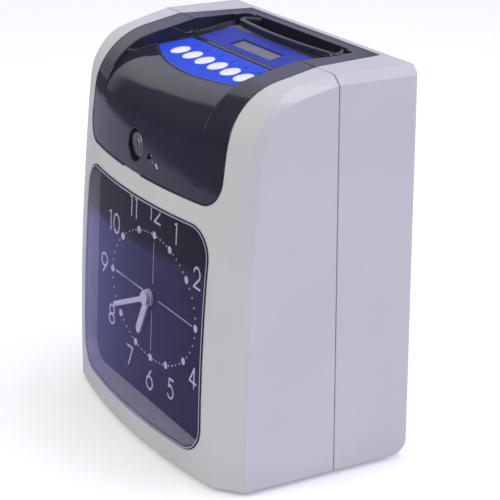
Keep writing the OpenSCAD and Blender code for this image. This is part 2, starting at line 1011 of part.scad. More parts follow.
// One key, numbered from the left
module key(i) {
    color([0.92, 0.92, 0.94])
        at_deck()
            translate([(i - 3.5) * key_pitch, key_y, 0]) {
                intersection() {
                    translate([0, 0, -4])
                        cylinder(r = key_r, h = 7);
                    translate([0, 0, -17])
                        sphere(18);
                }
                translate([0, 0, -overlay_t - 4])
                    cylinder(r = key_r + 1.1, h = 1.5);
            }
}

module key_1() { key(1); }
module key_2() { key(2); }
module key_3() { key(3); }
module key_4() { key(4); }
module key_5() { key(5); }
module key_6() { key(6); }

module indicators() {
    color([0.6, 0.1, 0.1])
        at_deck()
            led_spots()
                translate([0, 0, -9])
                    cylinder(r = 1.2, h = 9.2);
}

module key_board() {
    color([0.1, 0.35, 0.2])
        at_deck()
            span([-55, -31, -10.6], [55, -6, -9]);
}

module key_switches() {
    color([0.15, 0.15, 0.16])
        at_deck()
            key_spots() {
                span([-3, -3, -9], [3, 3, -overlay_t - 4 - key_travel - 0.7]);
                translate([0, 0, -7])
                    cylinder(r = 1.7, h = 7 - overlay_t - 4 - key_travel - 0.2);
            }
}

// Chassis and card path

module chassis() {
    color(steel_col)
        difference() {
            union() {
                span([-70, -3, 6], [70, yr - 5, 6 + sheet]);
                for (side = [0, 1])
                    mirror([side, 0, 0]) {
                        span([cheek_x, 2, 6], [cheek_x + sheet, yr - 5, cheek_top]);
                        for (z = [22, 148 + taller])
                            span([cheek_x, yr - 5 - sheet, z], [hw - 16, yr - 5, z + 16]);
                    }
                span([-cheek_x - sheet, 2, rods - 21], [cheek_x + sheet, 2 + sheet, rods + 32]);
                translate([-pulley_x, 0, rods])
                    cyl_y(2, 3, 12.4);
            }
            chassis_spots()
                cylinder(r = 1.8, h = 12);
            for (y = [rod_y1, rod_y2])
                translate([0, y, rods])
                    cyl_x(rod_r + 0.02, -90, 90);
            translate([0, feed_y, feed_z])
                cyl_x(2.5 + run, -90, 90);
            translate([0, pinch_y, feed_z])
                cyl_x(1 + run, -90, 90);
            translate([pulley_x, 0, rods])
                cyl_y(2.2, 0, 5);
            rear_screw_spots()
                cyl_y(1.8, yr - 8, yr);
            span([-80, 12, 20], [-50, 36, 100]);
            span([50, 12, 16], [80, 36, 44]);
        }
}

module card_windows(y0, y1) {
    for (side = [-1, 1])
        span([side * 25 - 8.5, y0, feed_z - 9], [side * 25 + 8.5, y1, feed_z + 9]);
}

module card_guide_front() {
    color([0.16, 0.16, 0.18])
        difference() {
            union() {
                span([-cheek_x, guide_f - guide_t, 30], [cheek_x, guide_f, guide_top]);
                for (side = [0, 1])
                    mirror([side, 0, 0])
                        span([card_hw, guide_f - 1, 30], [card_hw + 3, guide_r, guide_top]);
            }
            card_windows(guide_f - 5, guide_f + 1);
            span([-card_hw + 1, guide_f - 5, print_z - 9], [card_hw - 1, guide_f + 1, print_z + 9]);
        }
}

module card_guide_rear() {
    color([0.16, 0.16, 0.18])
        difference() {
            union() {
                span([-cheek_x, guide_r, 26], [cheek_x, guide_r + guide_t, guide_top]);
                span([-cheek_x, guide_f - guide_t, 26], [cheek_x, guide_r + 1, 30]);
            }
            card_windows(guide_r - 1, guide_r + 5);
        }
}

module platen() {
    color([0.08, 0.08, 0.09])
        span([-card_hw + 0.5, guide_r - 1.4, print_z - 7], [card_hw - 0.5, guide_r, print_z + 7]);
}

module feed_roller() {
    color([0.1, 0.1, 0.11])
        translate([0, feed_y, feed_z]) {
            cyl_x(2.5, -63, 72);
            for (side = [-1, 1])
                translate([side * 25, 0, 0])
                    cyl_x(feed_r, -7.5, 7.5);
        }
}

module pinch_rollers() {
    color([0.75, 0.75, 0.76])
        translate([0, pinch_y, feed_z]) {
            cyl_x(1, -63, cheek_x + sheet - 0.2);
            for (side = [-1, 1])
                translate([side * 25, 0, 0])
                    cyl_x(pinch_r, -7.5, 7.5);
        }
}

module feed_motor() {
    color(steel_col)
        translate([0, feed_y, feed_z])
            difference() {
                cyl_x(13, cheek_x + sheet, cheek_x + sheet + 20);
                cyl_x(2.5 + run, 0, 74);
            }
}

module carriage_rods() {
    color([0.8, 0.8, 0.81])
        for (y = [rod_y1, rod_y2])
            translate([0, y, rods])
                cyl_x(rod_r, -cheek_x - 3, cheek_x + 3);
}

module carriage() {
    color([0.14, 0.14, 0.15])
        difference() {
            union() {
                span([-14, 12, rods - 7], [14, 34, rods + 7]);
                span([-6, 4.6, rods + pulley_r - 3], [6, 12.5, rods + pulley_r + 4]);
                span([-6, 11.8, rods], [6, 14, rods + pulley_r + 4]);
            }
            for (y = [rod_y1, rod_y2])
                translate([0, y, rods])
                    cyl_x(rod_r + run, -20, 20);
            span([-8, 4, rods + pulley_r - 0.3], [8, 11.3, rods + pulley_r + 1.5]);
        }
}

module print_head() {
    color([0.25, 0.25, 0.27])
        difference() {
            union() {
                span([-11, 15, rods + 7], [11, 33, print_z + 10]);
                span([-5, 30, print_z - 6], [5, guide_f - 3.2, print_z + 6]);
            }
            for (i = [0:3])
                span([-12, 16.5 + i * 3.4, rods + 11], [12, 18 + i * 3.4, print_z + 12]);
        }
}

module drive_pulley() {
    color([0.85, 0.85, 0.83])
        translate([pulley_x, 0, rods]) {
            cyl_y(pulley_r, 5, 11);
            cyl_y(pulley_r + 1.6, 4.2, 5.2);
            cyl_y(pulley_r + 1.6, 10.8, 11.6);
            cyl_y(1.5, -6, 6);
        }
}

module idler_pulley() {
    color([0.85, 0.85, 0.83])
        translate([-pulley_x, 0, rods])
            difference() {
                union() {
                    cyl_y(pulley_r, 5, 11);
                    cyl_y(pulley_r + 1.6, 4.2, 5.2);
                    cyl_y(pulley_r + 1.6, 10.8, 11.6);
                }
                cyl_y(2 + run, 0, 14);
            }
}

// Belt outline in front view
module belt_loop(r) {
    for (x = [-pulley_x, pulley_x])
        translate([x, 0])
            circle(r);
    translate([-pulley_x, -r])
        square([2 * pulley_x, 2 * r]);
}

module carriage_belt() {
    color([0.1, 0.1, 0.1])
        translate([0, 0, rods])
            difference() {
                front_prism(5.6, 10.4)
                    belt_loop(pulley_r + 1.2);
                front_prism(5, 11)
                    belt_loop(pulley_r + 0.05);
            }
}

module carriage_motor() {
    color(steel_col)
        translate([pulley_x, 0, rods])
            difference() {
                cyl_y(14, -20, 2);
                cyl_y(1.5 + run, -8, 4);
            }
}

module ribbon_cassette() {
    color([0.13, 0.13, 0.14])
        difference() {
            union() {
                span([-56, -8, cassette_z], [56, 34, cassette_z + 11.5]);
                for (side = [0, 1])
                    mirror([side, 0, 0])
                        span([47, 32, rods + 9], [56, guide_f - guide_t, cassette_z + 11.5]);
            }
            translate([36, 6, 0])
                cylinder(r = 3 + run, h = body_h);
            span([-57, guide_f - 3.05, print_z - 6.5], [57, guide_f - 2.55, print_z + 6.5]);
        }
}

module ribbon() {
    color([0.25, 0.1, 0.35])
        span([-55, guide_f - 2.95, print_z - 6], [55, guide_f - 2.65, print_z + 6]);
}

module ribbon_knob() {
    color([0.85, 0.85, 0.86])
        translate([36, 6, 0])
            difference() {
                union() {
                    translate([0, 0, cassette_z + 1])
                        cylinder(r = 3, h = 12);
                    translate([0, 0, cassette_z + 11.8])
                        cylinder(r = 8, h = 4.5);
                }
                for (a = [0:30:330])
                    rotate([0, 0, a])
                        translate([8.4, 0, cassette_z + 5])
                            cylinder(r = 1.2, h = 20);
            }
}

// Electrics

module board_spots() {
    for (y = [8, 48], z = [30, 136])
        translate([-cheek_x - sheet, y, z])
            children();
}

module main_board() {
    color([0.1, 0.38, 0.22])
        difference() {
            span([-cheek_x - sheet - 11.6, 4, 24], [-cheek_x - sheet - 10, 52, 142]);
            board_spots()
                cyl_x(1.6, -20, 0);
        }
}

module board_posts() {
    color([0.78, 0.64, 0.32])
        board_spots() {
            cyl_x(2.6, -10, 0);
            cyl_x(1.5, -13, -9);
        }
}

module board_chips() {
    color([0.1, 0.1, 0.11])
        translate([-cheek_x - sheet - 11.6, 0, 0]) {
            span([-3, 18, 90], [0, 36, 114]);
            span([-3, 12, 60], [0, 22, 80]);
            span([-4, 30, 58], [0, 44, 70]);
            translate([0, 40, 44])
                cyl_x(6, -12, 0);
            translate([0, 24, 40])
                cyl_x(5, -10, 0);
        }
}

module transformer() {
    color([0.35, 0.33, 0.32])
        difference() {
            span([-52, 0, 6 + sheet], [-14, 38, 44]);
            span([-46, -6, 14], [-20, 45, 38]);
        }
}

module transformer_coil() {
    color([0.75, 0.7, 0.5])
        span([-46, -6, 14], [-20, 40.5, 38]);
}

module backup_battery() {
    color([0.2, 0.35, 0.6])
        span([12, 4, 6 + sheet], [50, 34, 32]);
}

module chime_speaker() {
    color([0.12, 0.12, 0.13])
        translate([cheek_x + sheet, 24, 128 - 60])
            union() {
                cyl_x(10, 0, 9);
                translate([9, 0, 0])
                    rotate([0, 90, 0])
                        cylinder(r1 = 10, r2 = 19, h = 9);
                cyl_x(20, 18, 20);
            }
}

translate([0, 0, foot_h]) {
    front_case();
    front_panel();
    lens();
    dial();
    dial_screws();
    movement();
    movement_cell();
    movement_nut();
    hour_hand();
    minute_hand();
    hand_cap();
    lock_barrel();
    lock_plug();
    lock_cam();
    lock_nut();
    rear_case();
    cord_bush();
    case_screws();
    base_tray();
    base_screws();
    rubber_feet();
    top_deck();
    lcd_overlay();
    lcd_glass();
    lcd_board();
    key_tray();
    keypad_overlay();
    key_1();
    key_2();
    key_3();
    key_4();
    key_5();
    key_6();
    indicators();
    key_board();
    key_switches();
    chassis();
    card_guide_front();
    card_guide_rear();
    platen();
    feed_roller();
    pinch_rollers();
    feed_motor();
    carriage_rods();
    carriage();
    print_head();
    drive_pulley();
    idler_pulley();
    carriage_belt();
    carriage_motor();
    ribbon_cassette();
    ribbon();
    ribbon_knob();
    main_board();
    board_posts();
    board_chips();
    transformer();
    transformer_coil();
    backup_battery();
    chime_speaker();
}
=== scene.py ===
# %% [markdown]
# A desktop time clock: a pale shell in two halves, a dark top with a card mouth, keys and a display,
# and an analogue clock behind a clear lens in the front cover. The solids come packed from the CAD
# model as a fixed frame. This lesson dresses them: it smooths the shells, draws their edges and
# seams, prints the dial and gives every piece the surface of what it is made of.

# %% Load the frame
import bmesh
import bpy
import json
import math
from mathutils import Matrix, Vector


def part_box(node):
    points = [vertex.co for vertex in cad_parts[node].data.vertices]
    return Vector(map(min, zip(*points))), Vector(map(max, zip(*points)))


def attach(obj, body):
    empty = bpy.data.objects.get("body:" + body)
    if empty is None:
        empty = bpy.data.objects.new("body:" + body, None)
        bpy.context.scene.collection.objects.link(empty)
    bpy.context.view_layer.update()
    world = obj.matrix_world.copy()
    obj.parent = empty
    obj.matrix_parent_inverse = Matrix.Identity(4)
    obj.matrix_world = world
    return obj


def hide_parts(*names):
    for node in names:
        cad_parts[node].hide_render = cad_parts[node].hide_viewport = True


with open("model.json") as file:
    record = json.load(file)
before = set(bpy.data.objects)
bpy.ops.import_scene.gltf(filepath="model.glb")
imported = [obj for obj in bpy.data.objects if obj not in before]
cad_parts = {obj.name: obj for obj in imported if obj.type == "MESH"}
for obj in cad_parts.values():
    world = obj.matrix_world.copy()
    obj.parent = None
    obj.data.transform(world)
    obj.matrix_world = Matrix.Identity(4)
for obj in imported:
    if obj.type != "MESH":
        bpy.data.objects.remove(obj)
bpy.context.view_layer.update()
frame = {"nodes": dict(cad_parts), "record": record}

MM = 0.001
WELD = 0.004 * MM
nodes = frame["nodes"]

# %% [markdown]
# The camera stands to the right of the machine and a little above it. Its place, turn and lens follow
# from the picture's own vanishing lines, in the frame's millimetres. The lens is long, so the sides
# of the case run almost parallel.

# %% Camera
EYE = Vector((794.8, -414.4, 420.5)) * MM
AZIMUTH, ELEVATION, ROLL = (math.radians(a) for a in (61.465, 19.702, -0.124))
SENSOR, LENS = 36, 121.65
right = Vector((math.cos(AZIMUTH), math.sin(AZIMUTH), 0))
level = Vector((math.sin(AZIMUTH), -math.cos(AZIMUTH), 0))
back = math.cos(ELEVATION) * level + math.sin(ELEVATION) * Vector((0, 0, 1))
up = back.cross(right)
turned_right = math.cos(ROLL) * right + math.sin(ROLL) * up
turned_up = math.cos(ROLL) * up - math.sin(ROLL) * right
bpy.ops.object.select_all(action="DESELECT")
bpy.ops.object.camera_add()
camera = bpy.context.object
axes = Matrix((turned_right, turned_up, back)).transposed()
camera.matrix_world = Matrix.Translation(EYE) @ axes.to_4x4()
camera.data.sensor_width = SENSOR
camera.data.lens = LENS
camera.data.clip_start = 0.05
bpy.context.scene.camera = camera
print("camera at", tuple(round(v, 3) for v in EYE))

# %% [markdown]
# A colour is written as the sRGB hex that a paint program shows, and shaders want it linear. One
# function turns it. Another adds a node to a material with its settings and its links, so that a
# finish reads as a list of what feeds what.

# %% Colour and node helpers
def linear(hex_code):
    """The linear colour of an sRGB hex code, with full alpha."""
    parts = [int(hex_code[i:i + 2], 16) / 255 for i in (0, 2, 4)]
    return [p / 12.92 if p <= 0.04045 else ((p + 0.055) / 1.055) ** 2.4 for p in parts] + [1.0]


def add(tree, kind, feeds=None, stops=(), **settings):
    """Adds one shader node. feeds maps an input to a value or to another node's output."""
    made = tree.nodes.new("ShaderNode" + kind)
    for name, value in settings.items():
        setattr(made, name, value)
    for name, value in (feeds or {}).items():
        if isinstance(value, bpy.types.NodeSocket):
            tree.links.new(value, made.inputs[name])
        else:
            made.inputs[name].default_value = value
    for i, (place, hex_code) in enumerate(stops):
        bead = made.color_ramp.elements[i] if i < 2 else made.color_ramp.elements.new(place)
        bead.position = place
        bead.color = linear(hex_code)
    return made


def start(name):
    """A new finish's node tree, empty."""
    finish = bpy.data.materials.new(name)
    finish.use_nodes = True
    finish.node_tree.nodes.clear()
    return finish, finish.node_tree


def per_mm(size):
    """The texture scale that gives features of this many millimetres."""
    return 1 / (size * MM)


# %% [markdown]
# A few jobs come back for almost every piece: picking one object alone, putting a new mesh in the
# scene, applying a modifier, cutting one shape out of another, and giving a piece its finish and the
# body that it rides on. Each is a function, so that a later cell says only what its own piece needs.

# %% Piece helpers
def pick(piece):
    """Selects one object alone and makes it the active one."""
    bpy.ops.object.select_all(action="DESELECT")
    piece.select_set(True)
    bpy.context.view_layer.objects.active = piece


def put(name, data):
    """A new object in the scene from a mesh or a curve, picked."""
    piece = bpy.data.objects.new(name, data)
    bpy.context.collection.objects.link(piece)
    pick(piece)
    return piece


def put_edited(name, mesh):
    """A new object from an edited mesh, which is then let go."""
    data = bpy.data.meshes.new(name)
    mesh.to_mesh(data)
    mesh.free()
    return put(name, data)


def made_mesh(piece):
    """Turns a curve object into a mesh."""
    pick(piece)
    bpy.ops.object.convert(target="MESH")
    return bpy.context.object


def shape(piece, kind, **settings):
    """Applies one modifier with its settings."""
    pick(piece)
    made = piece.modifiers.new(kind.lower(), kind)
    for name, value in settings.items():
        setattr(made, name, value)
    bpy.ops.object.modifier_apply(modifier=made.name)


def cut_away(piece, cutter):
    """Cuts one object's shape out of another and removes the cutter."""
    shape(piece, "BOOLEAN", object=cutter, operation="DIFFERENCE", solver="EXACT")
    bpy.data.objects.remove(cutter)


def soften(piece, degrees):
    """Shades a piece smooth across bends of up to an angle."""
    pick(piece)
    bpy.ops.object.shade_smooth_by_angle(angle=math.radians(degrees))


def dress(piece, finish, body):
    """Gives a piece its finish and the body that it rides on."""
    piece.data.materials.clear()
    piece.data.materials.append(finish)
    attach(piece, body)
    print(piece.name, len(piece.data.polygons), "faces")


# %% [markdown]
# The shells are injection moulded. The CAD meshes come as loose triangles, so each visible one is
# copied, its triangles are merged and its shading runs smooth over shallow bends. Only true creases
# show then. The deck and the key tray also get a small bevel, as the tool that moulds them has no
# knife edges. A copy stands for its CAD node and rides on the same body.

# %% Smooth mouldings
body_of = {name: body for body, names in frame["record"]["behaviour"]["bodies"].items() for name in names}
FLAT = math.radians(0.2)
copies = {}


def smooth_copy(name, crease, radius=0.0, bend=50):
    """Copies a CAD node. Edges sharper than bend degrees are rounded to a radius in mm, where there is one."""
    piece = put(name + "_moulded", nodes[name].data.copy())
    bpy.ops.object.mode_set(mode="EDIT")
    bpy.ops.mesh.select_all(action="SELECT")
    bpy.ops.mesh.customdata_custom_splitnormals_clear()
    bpy.ops.mesh.remove_doubles(threshold=WELD)
    if radius:
        bpy.ops.mesh.dissolve_limited(angle_limit=FLAT)
    bpy.ops.object.mode_set(mode="OBJECT")
    if radius:
        shape(piece, "BEVEL", width=radius * MM, segments=3, limit_method="ANGLE", angle_limit=math.radians(bend),
              use_clamp_overlap=True)
    soften(piece, crease)
    shape(piece, "WEIGHTED_NORMAL", weight=100, keep_sharp=True)
    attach(piece, body_of[name])
    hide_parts(name)
    copies[name] = piece
    top = max(v.co.z for v in piece.data.vertices) / MM
    print(name, "copied:", len(piece.data.polygons), "faces, top at", round(top, 2), "mm")


smooth_copy("front_case", 13)
smooth_copy("rear_case", 13)
smooth_copy("front_panel", 16)
smooth_copy("top_deck", 24, radius=0.4)
smooth_copy("key_tray", 24, radius=0.25)

# %% [markdown]
# Most of the machine is moulded plastic or painted sheet. Such a surface drifts a little in tone from place to
# place, and its gloss is broken by the grain of the mould. Its edges are drawn a touch paler: partly the rub of
# handling, partly a painted highlight along the rounded edge. One function makes that family of finishes from real
# sizes: the patch and the grain in millimetres, and the depth of the grain in micrometres.

# %% The moulded family
def moulded(name, tones, patch_mm, gloss, grain_mm, grain_um, rubbed_and_highlight=None, edge_mm=0.7, **sockets):
    """A finish with drifting tone, grain in its gloss and bump, and soft edges drawn paler, partly as wear and
    partly as a painted highlight.
    """
    finish, tree = start(name)
    place = add(tree, "TexCoord").outputs["Object"]
    drift = add(tree, "TexNoise", {"Vector": place, "Scale": per_mm(patch_mm), "Detail": 3.0})
    grain = add(tree, "TexNoise", {"Vector": place, "Scale": per_mm(grain_mm), "Detail": 2.0})
    colour = add(tree, "ValToRGB", {"Fac": drift.outputs["Fac"]}, [(0.3, tones[0]), (0.7, tones[1])])
    tone = colour.outputs["Color"]
    bump = add(tree, "Bump", {"Height": grain.outputs["Fac"], "Distance": grain_um * MM * MM, "Strength": 1.0})
    # Edges are mixed towards a paler tone: partly rubbed wear, partly a painted highlight.
    if rubbed_and_highlight:
        bevel = add(tree, "Bevel", {"Radius": edge_mm * MM}, samples=6)
        tree.links.new(bevel.outputs["Normal"], bump.inputs["Normal"])
        flat = add(tree, "NewGeometry")
        bend = add(tree, "VectorMath", operation="DOT_PRODUCT")
        tree.links.new(bevel.outputs["Normal"], bend.inputs[0])
        tree.links.new(flat.outputs["Normal"], bend.inputs[1])
        edge = add(tree, "MapRange", {"Value": bend.outputs["Value"], "From Min": 0.995, "From Max": 0.85,
                                      "To Min": 0.0, "To Max": 0.35})
        worn_and_lit = add(tree, "MixRGB", {"Fac": edge.outputs["Result"], "Color1": tone, "Color2": linear(rubbed_and_highlight)})
        tone = worn_and_lit.outputs["Color"]
    shine = add(tree, "MapRange", {"Value": grain.outputs["Fac"], "From Min": 0.3, "From Max": 0.7,
                                   "To Min": gloss[0], "To Max": gloss[1]})
    feeds = {"Base Color": tone, "Roughness": shine.outputs["Result"], "Normal": bump.outputs["Normal"]}
    shader = add(tree, "BsdfPrincipled", {**feeds, **sockets})
    add(tree, "OutputMaterial", {"Surface": shader.outputs["BSDF"]})
    return finish


def wear(finish, names):
    """Gives CAD nodes, and the copies that stand for them, a finish."""
    for name in names.split():
        for piece in (nodes[name], copies.get(name)):
            if piece:
                piece.data.materials.clear()
                piece.data.materials.append(finish)


# %% [markdown]
# The two shells and the base are pale grey ABS, moulded in a spark-eroded tool. That gives a soft
# sheen with a fine grain of about half a millimetre, drawn at 0.9 mm here so that it just shows.

# %% Pale grey ABS
# The paler edge tone here, and in the finishes below, is partly wear and partly a painted highlight.
pale_abs = moulded("abs_pale_grey_moulded", ("C0C0C3", "C6C6C9"), 60, (0.34, 0.42), 0.9, 8,
                   "DADADC", 1.2, IOR=1.45)
wear(pale_abs, "front_case rear_case base_tray")

# %% [markdown]
# The dark top is charcoal ABS from a polished tool: glossy, with clear reflections.

# %% Charcoal ABS
charcoal_abs = moulded("abs_charcoal_polished", ("272735", "2C2C3C"), 50, (0.05, 0.08), 0.7, 0.3,
                       "4A4A5A", 0.9, IOR=1.5)
wear(charcoal_abs, "front_panel top_deck key_tray")

# %% [markdown]
# The lens is clear acrylic. Light from the lamps has to reach the dial behind it, and a ray tracer lets none
# through glass on a straight line, so rays that only ask for a lamp pass it unbent. The lens's skirt, the wall that
# runs back to the dial, is milky from its mould. Where the skirt faces up or down, as the ledge, it is painted
# greyer: painted shade by the way it faces.

# %% Clear acrylic
acrylic, tree = start("acrylic_clear_moulded")
place = add(tree, "TexCoord").outputs["Object"]
haze = add(tree, "TexNoise", {"Vector": place, "Scale": per_mm(25), "Detail": 2.0})
facing = add(tree, "SeparateXYZ", {"Vector": add(tree, "TexCoord").outputs["Normal"]})
front = add(tree, "Math", {0: facing.outputs["Y"]}, operation="ABSOLUTE")
skirt = add(tree, "MapRange", {"Value": front.outputs["Value"], "From Min": 0.9, "From Max": 0.6})
rise = add(tree, "Math", {0: facing.outputs["Z"]}, operation="ABSOLUTE")
# The ledge, the wall that faces up or down, is painted greyer: painted shade by the way it faces.
ledge_shade = add(tree, "MapRange", {"Value": rise.outputs["Value"], "From Min": 0.4, "From Max": 0.9})
wall_tone_and_shade = add(tree, "MixRGB", {"Fac": ledge_shade.outputs["Result"], "Color1": linear("F4F1E6"),
                                 "Color2": linear("B2B2BC")})
tone = add(tree, "MixRGB", {"Fac": skirt.outputs["Result"], "Color1": linear("E9EAF2"),
                            "Color2": wall_tone_and_shade.outputs["Color"]})
through = add(tree, "MapRange", {"Value": skirt.outputs["Result"], "To Min": 1.0, "To Max": 0.08})
polish = add(tree, "MapRange", {"Value": haze.outputs["Fac"], "To Min": 0.0, "To Max": 0.012})
satin = add(tree, "Math", {0: skirt.outputs["Result"], 1: 0.3}, operation="MULTIPLY")
shine = add(tree, "Math", {0: polish.outputs["Result"], 1: satin.outputs["Value"]}, operation="ADD")
clear = add(tree, "BsdfPrincipled", {"Base Color": tone.outputs["Color"], "Roughness": shine.outputs["Value"],
                                     "IOR": 1.3, "Transmission Weight": through.outputs["Result"]})
straight = add(tree, "BsdfTransparent", {"Color": linear("EDEEF4")})
asks = add(tree, "LightPath")
both = add(tree, "MixShader", {"Fac": asks.outputs["Is Shadow Ray"]})
tree.links.new(clear.outputs["BSDF"], both.inputs[1])
tree.links.new(straight.outputs["BSDF"], both.inputs[2])
add(tree, "OutputMaterial", {"Surface": both.outputs["Shader"]})
wear(acrylic, "lens")

# %% [markdown]
# The dial is an aluminium sheet with a matt indigo lacquer. The hands, their cap and the keys are
# white ABS from a smooth tool.

# %% Dial lacquer and white ABS
lacquer = moulded("aluminium_indigo_lacquer", ("23212E", "2B2938"), 35, (0.6, 0.7), 3.0, 0.0, IOR=1.2)
wear(lacquer, "dial")
white_abs = moulded("abs_white_smooth", ("E2E2E6", "EBEBEE"), 8, (0.25, 0.34), 0.6, 4, "F4F4F6", IOR=1.5)
wear(white_abs, "hour_hand minute_hand hand_cap key_1 key_2 key_3 key_4 key_5 key_6")

# %% [markdown]
# The overlays are polyester film, printed cobalt blue from behind. Its front has a fine velvet
# texture that breaks reflections.

# %% Blue film
blue_film = moulded("polyester_film_cobalt", ("2247D0", "2A51DA"), 20, (0.42, 0.52), 0.4, 3, IOR=1.2)
wear(blue_film, "keypad_overlay")
deep_film = moulded("polyester_film_ultramarine", ("2C399C", "3542A8"), 20, (0.42, 0.52), 0.4, 3, IOR=1.2)
wear(deep_film, "lcd_overlay")

# %% [markdown]
# The display is a switched-off liquid crystal cell: glass over a grey polariser.

# %% Display glass
lcd = moulded("lcd_cell_grey", ("67656F", "706E79"), 12, (0.18, 0.2), 12.0, 0.0, IOR=1.3)
wear(lcd, "lcd_glass")
smoke = moulded("led_lens_smoked", ("2A3AA6", "3344B0"), 3, (0.3, 0.4), 0.5, 2, IOR=1.3)
wear(smoke, "indicators")

# %% [markdown]
# The lock is die-cast zinc with a dull nickel plate. Screws, rods and motor cans are bright
# zinc-plated steel, and the chassis, the card guides and the transformer's core are galvanised sheet.
# The movement's dry cell has a brass-coloured can, and the nut that holds the movement is blackened.

# %% Metals
nickel = moulded("zinc_nickel_plated", ("A5A197", "B3AFA5"), 3, (0.34, 0.46), 0.3, 3, "F0EFEA", 0.5, Metallic=1.0)
wear(nickel, "lock_barrel lock_plug lock_cam lock_nut")
bright_steel = moulded("steel_zinc_plated", ("B4B6B8", "C6C8CA"), 5, (0.22, 0.34), 0.4, 2, "DCDCDE", Metallic=1.0)
wear(bright_steel, "dial_screws case_screws base_screws carriage_rods feed_motor carriage_motor")
galvanised = moulded("steel_galvanised_sheet", ("9DA2A6", "B9BDC0"), 9, (0.3, 0.48), 2.5, 3, "CCD0D2", Metallic=1.0)
wear(galvanised, "chassis card_guide_front card_guide_rear transformer")
brass = moulded("brass_turned", ("B08A45", "C49C55"), 5, (0.2, 0.32), 0.5, 2, "D8B878", Metallic=1.0)
wear(brass, "movement_cell")
black_oxide = moulded("steel_black_oxide", ("1B1B22", "24242C"), 4, (0.4, 0.5), 0.4, 2, "3C3C46", 0.3, IOR=1.4)
wear(black_oxide, "movement_nut")

# %% [markdown]
# Inside are black acetal and ABS mouldings, rubber rollers and feet, the printed circuit boards and
# the electrical pieces. They show when the cover is pulled off.

# %% Inner finishes
acetal = moulded("acetal_black", ("141417", "1B1B1F"), 15, (0.32, 0.44), 0.6, 6, "34343A")
wear(acetal, "movement platen carriage print_head drive_pulley idler_pulley ribbon_cassette ribbon_knob "
             "cord_bush chime_speaker")
rubber = moulded("rubber_black", ("18181A", "202022"), 10, (0.7, 0.85), 0.8, 10)
wear(rubber, "rubber_feet feed_roller pinch_rollers carriage_belt")
solder_mask = moulded("fibreglass_green_mask", ("1B4A2C", "235A36"), 6, (0.3, 0.42), 1.5, 8)
wear(solder_mask, "main_board key_board lcd_board")
chip_epoxy = moulded("epoxy_black", ("1A1A1C", "232326"), 5, (0.5, 0.62), 0.4, 5)
wear(chip_epoxy, "board_chips key_switches")
nylon = moulded("nylon_natural", ("CFCBBE", "DBD7CA"), 6, (0.4, 0.5), 0.5, 4)
wear(nylon, "board_posts")
sleeve = moulded("pvc_sleeve_blue", ("2C4E7A", "355A88"), 12, (0.28, 0.36), 3.0, 12)
wear(sleeve, "backup_battery")
winding = moulded("copper_enamelled", ("7E3D1C", "934923"), 4, (0.25, 0.4), 0.8, 12)
wear(winding, "transformer_coil")
ink_nylon = moulded("nylon_ribbon_inked", ("17152A", "211E38"), 6, (0.6, 0.75), 0.4, 6)
wear(ink_nylon, "ribbon")
print("finishes:", len(bpy.data.materials))

# %% [markdown]
# Where two mouldings meet, the eye sees a dark line: the shadow in the gap. A black rubber bead laid in the gap
# draws that line as painted shade. Next to it, the rounded edge of the glossy piece draws a bright one, and round
# the lens that bead is coloured pale lavender as a painted highlight. Both are round beads that follow the sharp
# outer edges of a CAD node. The edges are picked in code, the rest of the copy is deleted, and what is left becomes
# a curve with a round profile.

# %% Edge beads
SHARP, OUTER = math.radians(40), 0.45
LOCK_X, LOCK_Z = -5.0, 167.0
SEAM_Y, DISH_HALF, DISH_TOP = 13.5, 10, 178
SIDE_X, FOOT_Z = 61, 156
KEYS_X, KEYS_Z = 57, 185
LENS_FRONT = -47


def edge_bead(name, source, outward, keep, radius, grow, finish):
    """A round bead, of a radius in mm, along the sharp edges of a CAD node that border an outer face."""
    mesh = bmesh.new()
    mesh.from_mesh(nodes[source].data)
    bmesh.ops.remove_doubles(mesh, verts=mesh.verts, dist=WELD)
    mesh.normal_update()
    outside = Vector(outward).normalized()
    wanted = {e for e in mesh.edges if len(e.link_faces) == 2 and e.is_convex and e.calc_face_angle() > SHARP
              and max(f.normal.dot(outside) for f in e.link_faces) > OUTER
              and keep((e.verts[0].co + e.verts[1].co) / 2 / MM)}
    spare = [e for e in mesh.edges if e not in wanted]
    bmesh.ops.delete(mesh, geom=list(mesh.faces), context="FACES_ONLY")
    bmesh.ops.delete(mesh, geom=spare, context="EDGES")
    middle = sum((v.co for v in mesh.verts), Vector()) / len(mesh.verts)
    for v in mesh.verts:
        reach = v.co - middle
        reach -= outside * reach.dot(outside)
        v.co += reach.normalized() * grow[0] * MM + outside * grow[1] * MM
    piece = put_edited(name, mesh)
    bpy.ops.object.convert(target="CURVE")
    piece = bpy.context.object
    piece.data.bevel_depth = radius * MM
    piece.data.bevel_resolution = 2
    piece.data.use_fill_caps = True
    piece = made_mesh(piece)
    soften(piece, 50)
    dress(piece, finish, "front_cover")


def panel_rim(p):
    """Picks the panel's own edges, not those of the lock's dish or of the seam."""
    return p.y < SEAM_Y and not (abs(p.x - LOCK_X) < DISH_HALF and p.z < DISH_TOP)


def panel_gap(p):
    """Picks the panel's edges that face another piece: at the sides, at the foot and under the keys."""
    return panel_rim(p) and (abs(p.x) > SIDE_X or p.z < FOOT_Z or abs(p.x) < KEYS_X and p.z > KEYS_Z)


PANEL_OUT, LENS_OUT = (0, -0.6, 0.8), (0, -1, 0)
# The lens's edge bead is opaque pale lavender: a painted highlight along the lens's edge.
lens_bead_highlight = moulded("acrylic_edge_painted_highlight", ("A6A4C0", "B0AECA"), 20, (0.1, 0.16), 0.6, 1.0, IOR=1.49)
edge_bead("panel_edge", "front_panel", PANEL_OUT, panel_rim, 0.45, (-0.35, -0.38), charcoal_abs)
